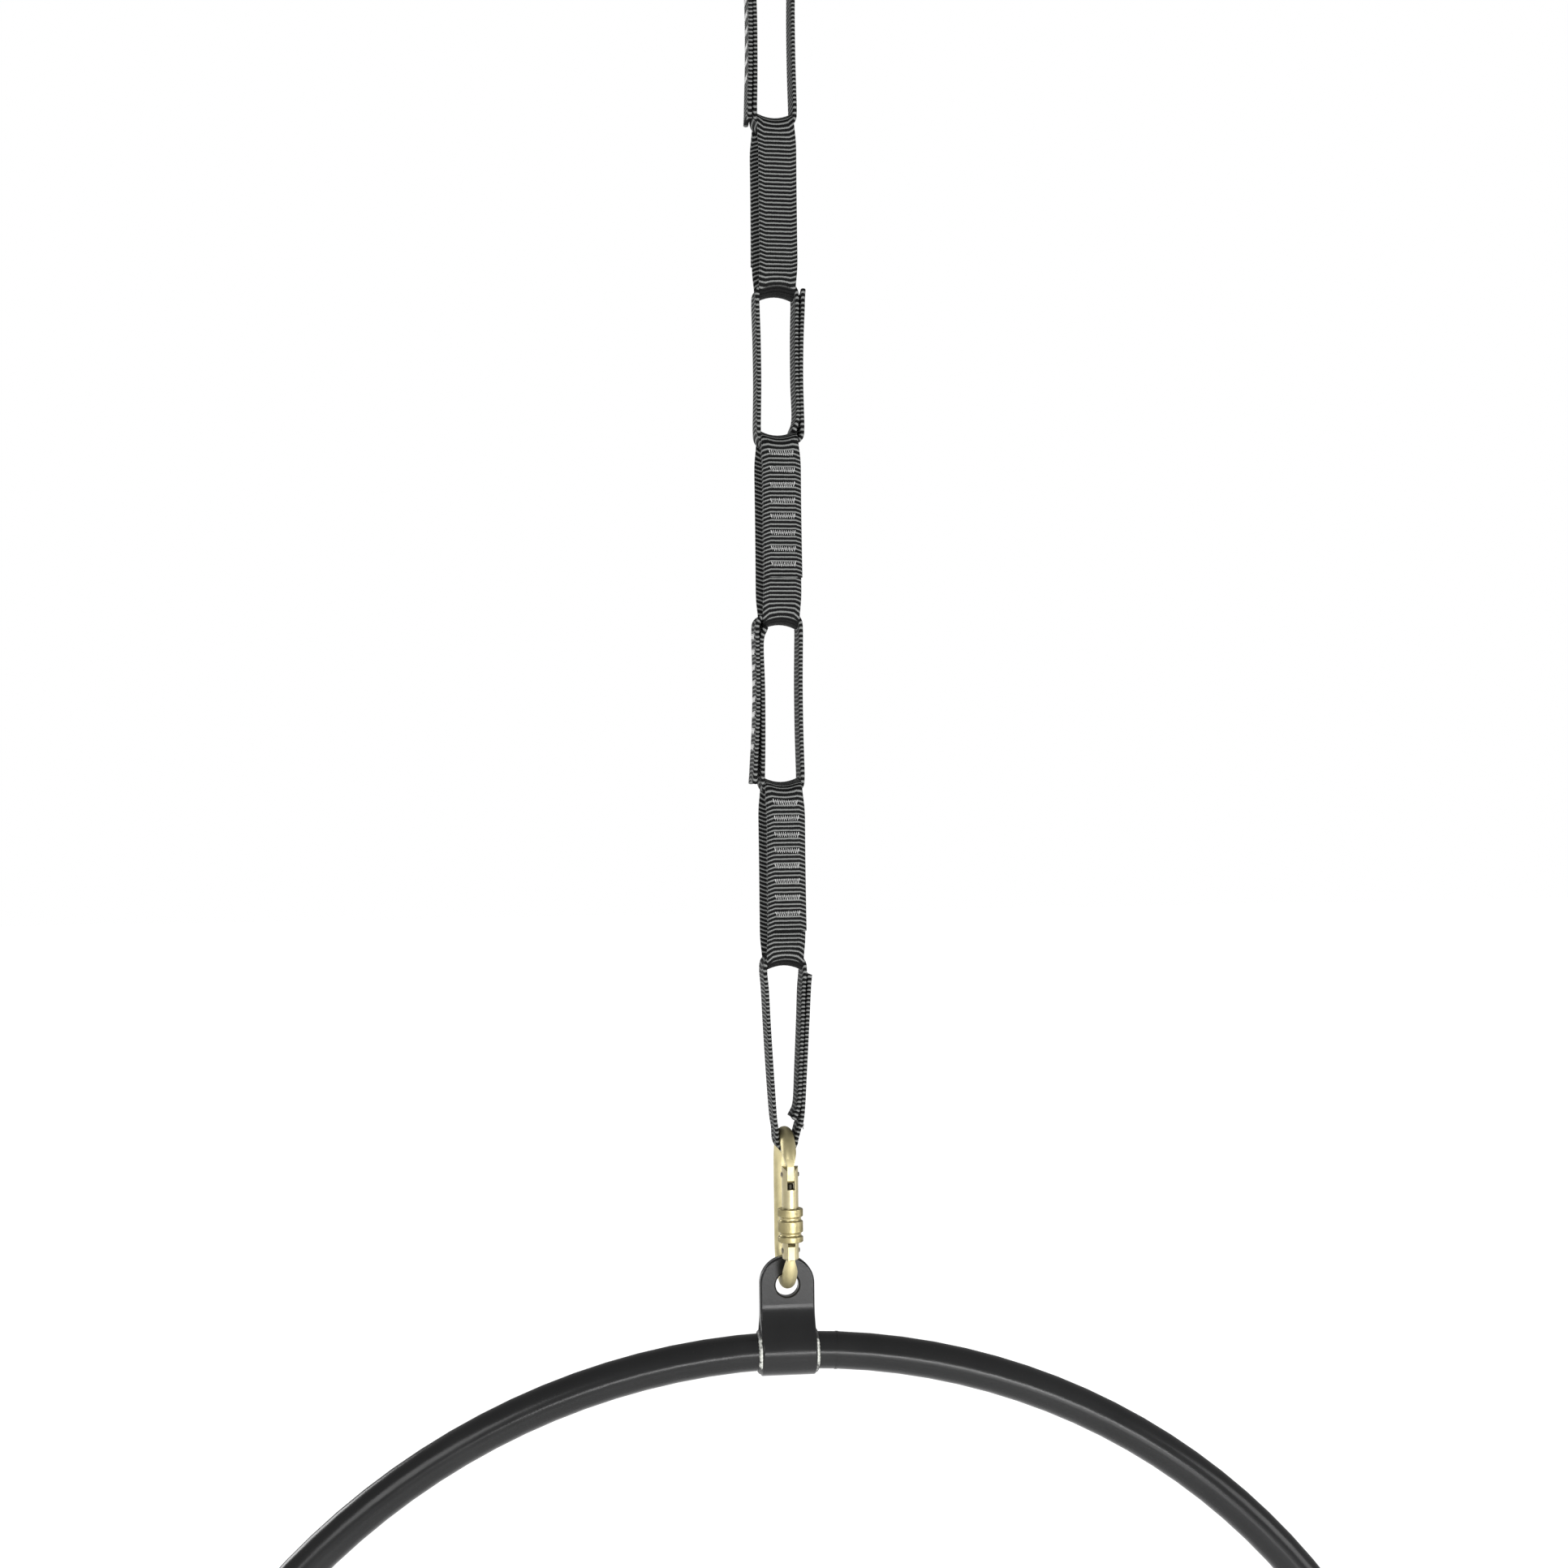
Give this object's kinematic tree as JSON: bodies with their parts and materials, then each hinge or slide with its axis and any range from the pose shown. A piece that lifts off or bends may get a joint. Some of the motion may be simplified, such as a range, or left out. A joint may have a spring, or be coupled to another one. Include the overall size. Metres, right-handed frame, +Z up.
{
  "type": "aerial hoop",
  "caption": "Steel aerial hoop hung from a chain of sewn webbing loops with screw-gate carabiners and a ball-bearing swivel.",
  "frame": {"origin": "centre of the hole in the swivel's upper eye, where the whole object hangs", "axes": "+Z up along the chain; the hoop lies in the XZ plane and its front faces -Y; the upper eye's hole runs along X"},
  "size_m": [0.95, 0.0598, 2.1951],
  "materials": {
    "black_coat": "satin black powder coat",
    "weld": "weld bead, thinly coated, worn grey",
    "zinc_steel": "yellow zinc plated, drawn rod",
    "gate_steel": "yellow zinc plated, turned and knurled",
    "pin_steel": "dull zinc",
    "bright_steel": "bright ground steel",
    "swivel_alloy": "dark anodised",
    "webbing": "ribbed tubular polyester webbing",
    "thread": "dense zigzag stitching"
  },
  "bodies": {
    "swivel_body": {"swivel_housing": "swivel_alloy", "swivel_cap": "swivel_alloy", "swivel_lower_race": "bright_steel", "swivel_balls": "bright_steel"},
    "swivel_shaft": {"swivel_shaft_eye": "swivel_alloy", "swivel_nut": "bright_steel", "swivel_upper_race": "bright_steel"},
    "upper_carabiner": {"upper_carabiner_frame": "zinc_steel"},
    "upper_gate": {"upper_carabiner_gate": "gate_steel", "upper_carabiner_hinge_pin": "pin_steel", "upper_carabiner_latch_pin": "pin_steel", "upper_carabiner_spring": "bright_steel", "upper_carabiner_plunger": "bright_steel"},
    "upper_sleeve": {"upper_carabiner_sleeve": "gate_steel"},
    "link_1": {"link_1_webbing": "webbing", "link_1_tacks": "thread"},
    "link_2": {"link_2_webbing": "webbing", "link_2_tacks": "thread"},
    "link_3": {"link_3_webbing": "webbing", "link_3_tacks": "thread"},
    "link_4": {"link_4_webbing": "webbing", "link_4_tacks": "thread"},
    "link_5": {"link_5_webbing": "webbing", "link_5_tacks": "thread"},
    "link_6": {"link_6_webbing": "webbing", "link_6_tacks": "thread"},
    "link_7": {"link_7_webbing": "webbing", "link_7_tacks": "thread"},
    "link_8": {"link_8_webbing": "webbing", "link_8_tacks": "thread"},
    "lower_carabiner": {"lower_carabiner_frame": "zinc_steel"},
    "lower_gate": {"lower_carabiner_gate": "gate_steel", "lower_carabiner_hinge_pin": "pin_steel", "lower_carabiner_latch_pin": "pin_steel", "lower_carabiner_spring": "bright_steel", "lower_carabiner_plunger": "bright_steel"},
    "lower_sleeve": {"lower_carabiner_sleeve": "gate_steel"},
    "hoop": {"hoop_tube": "black_coat", "hoop_joint_sleeve": "gate_steel", "hoop_butt_weld": "weld", "hanger_strap": "black_coat", "hanger_welds": "weld"}
  },
  "joints": [
    {"name": "swivel_spin", "type": "hinge", "parent": "swivel_body", "child": "swivel_shaft", "pos_m": [0, 0, -0.045], "axis": [0, 0, 1], "continuous": true},
    {"name": "upper_carabiner_swing", "type": "hinge", "parent": "swivel_shaft", "child": "upper_carabiner", "pos_m": [0, 0, -0.10465], "axis": [0, 1, 0], "range_deg": [-25, 25]},
    {"name": "upper_gate_hinge", "type": "hinge", "parent": "upper_carabiner", "child": "upper_gate", "pos_m": [0.02325, 0, -0.1054], "axis": [0, 1, 0], "range_deg": [0, 22], "stiffness_Nm_per_rad": 0.2, "springref_deg": -20.05},
    {"name": "upper_sleeve_screw", "type": "slide", "parent": "upper_gate", "child": "upper_sleeve", "axis": [0, 0, 1], "range_m": [-0.009, 0]},
    {"name": "link_1_swing", "type": "hinge", "parent": "upper_carabiner", "child": "link_1", "pos_m": [0, 0, -0.15715], "axis": [0, 1, 0], "range_deg": [-20, 20]},
    {"name": "link_2_swing", "type": "hinge", "parent": "link_1", "child": "link_2", "pos_m": [0, 0, -0.2967], "axis": [1, 0, 0], "range_deg": [-12, 12]},
    {"name": "link_3_swing", "type": "hinge", "parent": "link_2", "child": "link_3", "pos_m": [0, 0, -0.4119], "axis": [0, 1, 0], "range_deg": [-12, 12]},
    {"name": "link_4_swing", "type": "hinge", "parent": "link_3", "child": "link_4", "pos_m": [0, 0, -0.5251], "axis": [1, 0, 0], "range_deg": [-12, 12]},
    {"name": "link_5_swing", "type": "hinge", "parent": "link_4", "child": "link_5", "pos_m": [0, 0, -0.6253], "axis": [0, 1, 0], "range_deg": [-12, 12]},
    {"name": "link_6_swing", "type": "hinge", "parent": "link_5", "child": "link_6", "pos_m": [0, 0, -0.7465], "axis": [1, 0, 0], "range_deg": [-12, 12]},
    {"name": "link_7_swing", "type": "hinge", "parent": "link_6", "child": "link_7", "pos_m": [0, 0, -0.8587], "axis": [0, 1, 0], "range_deg": [-12, 12]},
    {"name": "link_8_swing", "type": "hinge", "parent": "link_7", "child": "link_8", "pos_m": [0, 0, -0.9759], "axis": [1, 0, 0], "range_deg": [-12, 12]},
    {"name": "lower_carabiner_swing", "type": "hinge", "parent": "link_8", "child": "lower_carabiner", "pos_m": [0, 0, -1.11595], "axis": [1, 0, 0], "range_deg": [-20, 20]},
    {"name": "lower_gate_hinge", "type": "hinge", "parent": "lower_carabiner", "child": "lower_gate", "pos_m": [0, -0.02325, -1.1167], "axis": [1, 0, 0], "range_deg": [0, 22], "stiffness_Nm_per_rad": 0.2, "springref_deg": -20.05},
    {"name": "lower_sleeve_screw", "type": "slide", "parent": "lower_gate", "child": "lower_sleeve", "axis": [0, 0, 1], "range_m": [-0.009, 0]},
    {"name": "hoop_swing", "type": "hinge", "parent": "lower_carabiner", "child": "hoop", "pos_m": [0, 0, -1.1917], "axis": [0, 1, 0], "range_deg": [-40, 40]}
  ]
}
